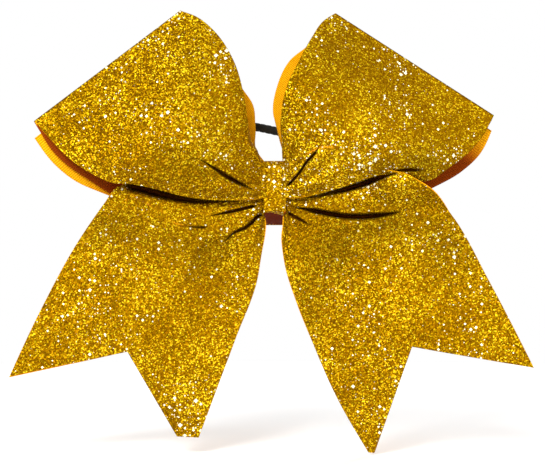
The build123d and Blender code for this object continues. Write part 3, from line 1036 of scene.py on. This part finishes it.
def elastic_piece(material):
    """A braided tube along the elastic's centreline, and that line's points and length."""
    line, length = elastic_line()
    square = np.array([0.0, math.cos(ELASTIC_LEAN), -math.sin(ELASTIC_LEAN)])
    sideways = np.cross(unit(np.gradient(line, axis=0)), square)
    angle = np.linspace(0, 2 * np.pi, AROUND, endpoint=False)
    distance = np.linspace(0, length, len(line))[:, None]
    phase = distance / STRAND_PITCH * 2 * np.pi
    braid = np.maximum(np.sin(STRANDS * angle + phase), np.sin(STRANDS * angle - phase))
    radius = ELASTIC_DIAMETER / 2 - STRAND_RELIEF + STRAND_RELIEF * braid
    ring = np.cos(angle)[None, :, None] * square + np.sin(angle)[None, :, None] * sideways[:, None]
    points = line[:, None] + ring * radius[..., None]
    index = np.arange(len(line) * AROUND).reshape(len(line), AROUND)
    after = np.roll(index, -1, axis=1)
    quads = np.stack([index[:-1], after[:-1], after[1:], index[1:]], axis=-1).reshape(-1, 4)
    uvs = np.stack(np.broadcast_arrays(distance, angle[None, :] * ELASTIC_DIAMETER / 2), axis=2)
    piece = make_mesh("braided_elastic", points.reshape(-1, 3), quads, uvs.reshape(-1, 2), material)
    close_ends(piece.data, [index[0][::-1].tolist(), index[-1].tolist()])
    return piece, line, length


# ---------------- assembly
def mirrored_order(grids):
    """The same grids with their columns in the other order, so that the outer side of a left ribbon faces
    out. A pair that is given for one edge and then the other is turned round as well."""
    return [grid[:, ::-1] if isinstance(grid, np.ndarray) else grid[::-1] for grid in grids]


def faced_out(side, grids):
    return mirrored_order(grids) if side == "left" else grids


def build_loop(side, glitter, grosgrain):
    """A loop's two layers and the plain ribbon behind it."""
    face, backing = ribbon_layers(side + "_loop", faced_out(side, loop_ribbon(side)), glitter, grosgrain)
    surface, step, painted_shade = faced_out(side, under_loop(side))
    under_piece = sheet_piece(side + "_under_loop_ribbon", surface, surface + step * BACKING_THICKNESS,
                              flat_coordinates(surface, RIBBON_WIDTH), grosgrain, painted_shade)
    for piece, node, slot in (
        (face, "_loop_glitter", "gold_glitter"),
        (backing, "_loop_ribbon", "orange_grosgrain"),
        (under_piece, "_under_loop", "orange_grosgrain"),
    ):
        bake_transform(piece)
        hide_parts(side + node)


def build_tail(side, glitter, grosgrain):
    """A tail's two layers."""
    face, backing = ribbon_layers(side + "_tail", faced_out(side, tail_ribbon(side)), glitter, grosgrain)
    for piece, node, slot in (
        (face, "_tail_glitter", "gold_glitter"),
        (backing, "_tail_ribbon", "orange_grosgrain"),
    ):
        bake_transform(piece)
        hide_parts(side + node)


def build_knot(glitter, grosgrain):
    """The wrap round the knot, and the materials of the CAD pieces that show inside it."""
    face, backing = knot_wrap(glitter, grosgrain)
    for piece, node, slot in (
        (face, "knot_wrap_glitter", "gold_glitter"),
        (backing, "knot_wrap_ribbon", "orange_grosgrain"),
    ):
        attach(piece, "knot")
        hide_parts(node)
    nylon = mottled_material("natural nylon", (0.66, 0.65, 0.60), (0.78, 0.77, 0.72), 300, roughness=0.4)
    glue = mottled_material("hot glue", (0.50, 0.38, 0.19), (0.66, 0.55, 0.33), 220, roughness=0.3)
    steel = mottled_material("crimped steel", (0.42, 0.41, 0.38), (0.6, 0.59, 0.56), 500, roughness=0.35,
                             metallic=1.0)
    for node, material in (
        ("gathered_centre", glitter),
        ("cable_tie", nylon),
        ("glue_pad", glue),
        ("elastic_crimp", steel),
    ):
        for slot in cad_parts[node].material_slots:
            slot.material = material


def build_elastic():
    """The hair elastic, whose two ends meet in the crimp."""
    elastic, line, length = elastic_piece(braid_material())
    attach(elastic, "elastic")
    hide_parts("hair_elastic")


def build():
    glitter = glitter_material()
    grosgrain = grosgrain_material()
    for side in SIDES:
        build_loop(side, glitter, grosgrain)
    for side in SIDES:
        build_tail(side, glitter, grosgrain)
    build_knot(glitter, grosgrain)
    build_elastic()


# ---------------- studio
LENS = 135
SENSOR_WIDTH = 36
VIEW_WIDTH = 0.2282  # of what the camera sees at the bow's plane
BOW_PLANE = -0.018
VIEW_CENTRE = (-0.00085, -0.0168)
LIGHTS = {  # place, the point it is turned to, size and power
    "key": ((-0.35, -1.1, 0.6), (0, 0, -0.02), 0.45, 20),
    "fill": ((0.8, -1.1, 0.2), (0, 0, -0.02), 0.8, 8),
    "back": ((0.5, 1.2, 0.8), (0, 0, 0), 0.8, 14),
}
AMBIENT_LIGHT = 0.5  # of the white world on the object
BACKDROP_LIGHT = 1.0  # of the white world behind it
FLOOR_RADIUS = 0.6
FLOOR_GAP = 0.001


def add_camera():
    camera = bpy.data.cameras.new("camera")
    camera.lens = LENS
    camera.sensor_width = SENSOR_WIDTH
    holder = bpy.data.objects.new("camera", camera)
    distance = VIEW_WIDTH * LENS / SENSOR_WIDTH
    holder.location = (VIEW_CENTRE[0], BOW_PLANE - distance, VIEW_CENTRE[1])
    holder.rotation_euler = (math.pi / 2, 0, 0)
    bpy.context.scene.collection.objects.link(holder)
    bpy.context.scene.camera = holder


def area_light(name, place, target, size, energy):
    light = bpy.data.lights.new(name, "AREA")
    light.size = size
    light.energy = energy
    lamp = bpy.data.objects.new(name, light)
    lamp.location = place
    lamp.rotation_euler = (Vector(target) - Vector(place)).to_track_quat("-Z", "Y").to_euler()
    bpy.context.scene.collection.objects.link(lamp)


def add_world():
    """A white world, brighter behind the object than it is as light on it."""
    world = bpy.data.worlds.new("studio")
    world.use_nodes = True
    tree = world.node_tree
    background = tree.nodes["Background"]
    path = tree.nodes.new("ShaderNodeLightPath")
    level = tree.nodes.new("ShaderNodeMapRange")
    level.inputs["To Min"].default_value = AMBIENT_LIGHT
    level.inputs["To Max"].default_value = BACKDROP_LIGHT
    tree.links.new(path.outputs["Is Camera Ray"], level.inputs["Value"])
    tree.links.new(level.outputs["Result"], background.inputs["Strength"])
    background.inputs["Color"].default_value = (1, 1, 1, 1)
    bpy.context.scene.world = world


def add_floor():
    bpy.ops.mesh.primitive_circle_add(vertices=96, radius=FLOOR_RADIUS, fill_type="NGON",
                                      location=(0, 0, cad_bounds[0][2] - FLOOR_GAP))
    floor = bpy.context.object
    floor.name = "floor"
    material, _, shader = node_material("pale floor")
    set_sockets(shader, Base_Color=(0.96, 0.96, 0.96, 1), Roughness=0.8)
    floor.data.materials.append(material)


build()
add_camera()
for light_name, settings in LIGHTS.items():
    area_light(light_name, *settings)
add_world()
add_floor()
bpy.context.scene.view_settings.view_transform = "Standard"
